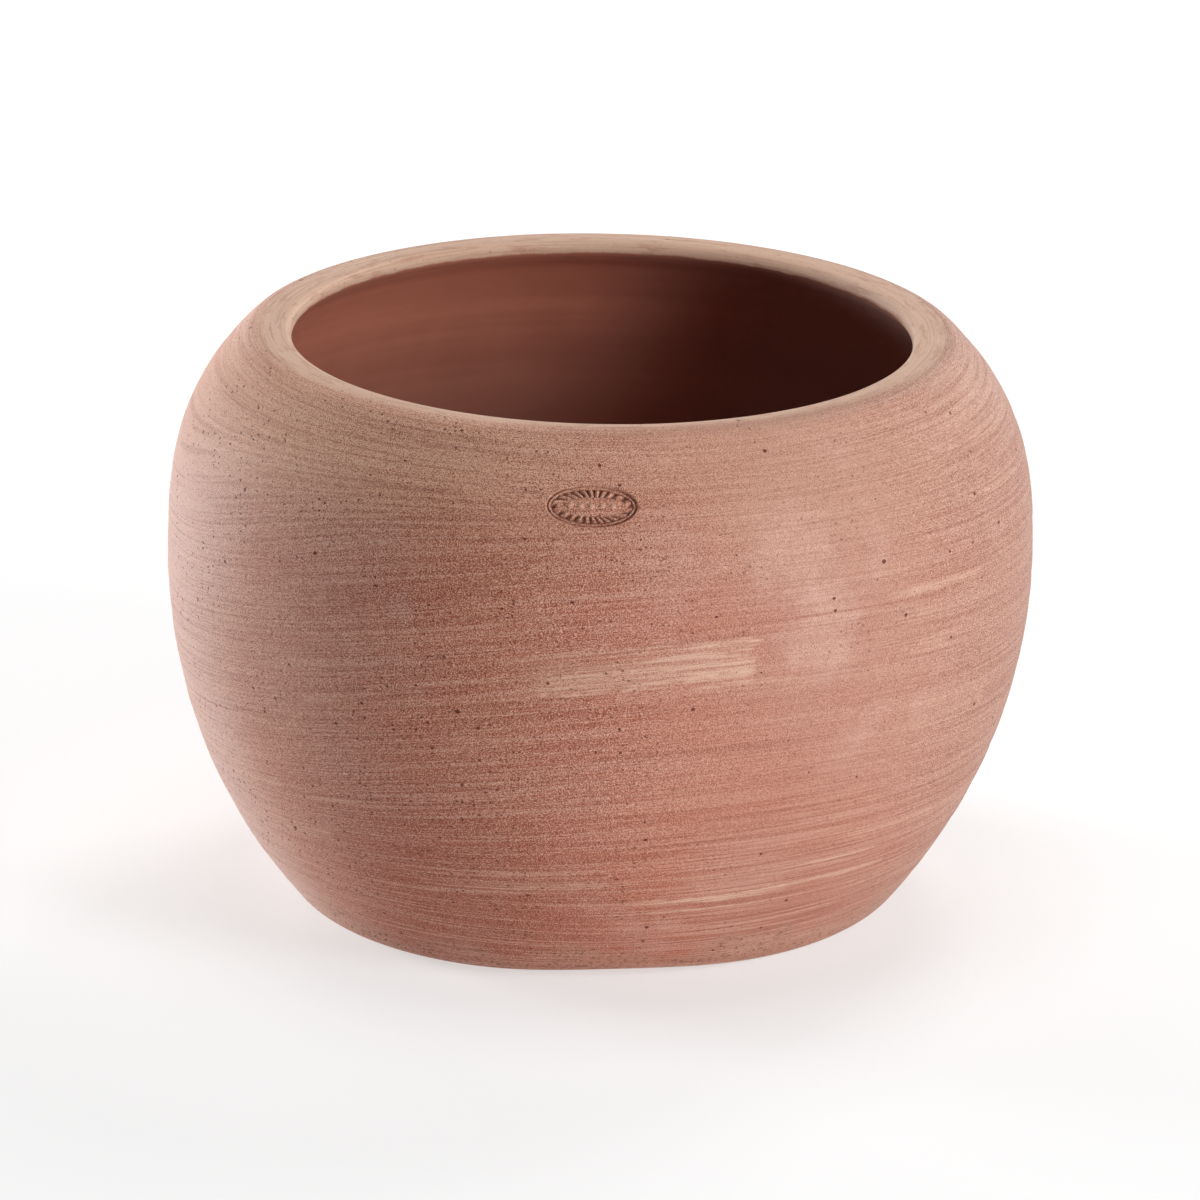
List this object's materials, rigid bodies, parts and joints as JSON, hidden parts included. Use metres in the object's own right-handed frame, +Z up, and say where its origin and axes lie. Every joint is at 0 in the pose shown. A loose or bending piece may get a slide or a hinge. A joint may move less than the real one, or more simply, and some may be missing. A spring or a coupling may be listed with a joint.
{
  "type": "terracotta planter",
  "caption": "Squat globe-shaped clay planter with a turned-in, thick rounded rim, a flat foot, a drain hole in its floor and an oval seal pressed into the shoulder.",
  "frame": {"origin": "on the floor under the middle of the belly, at the centre of the pot's box", "axes": "+Z up through the mouth; -Y is the front, where the oval seal is; +X is the side that the rim falls to"},
  "size_m": [0.45, 0.45, 0.3039],
  "materials": {
    "terracotta": "unglazed fired clay, matt, brushed and scraped on the wheel"
  },
  "bodies": {
    "root": {"pot_body": "terracotta"}
  },
  "joints": []
}
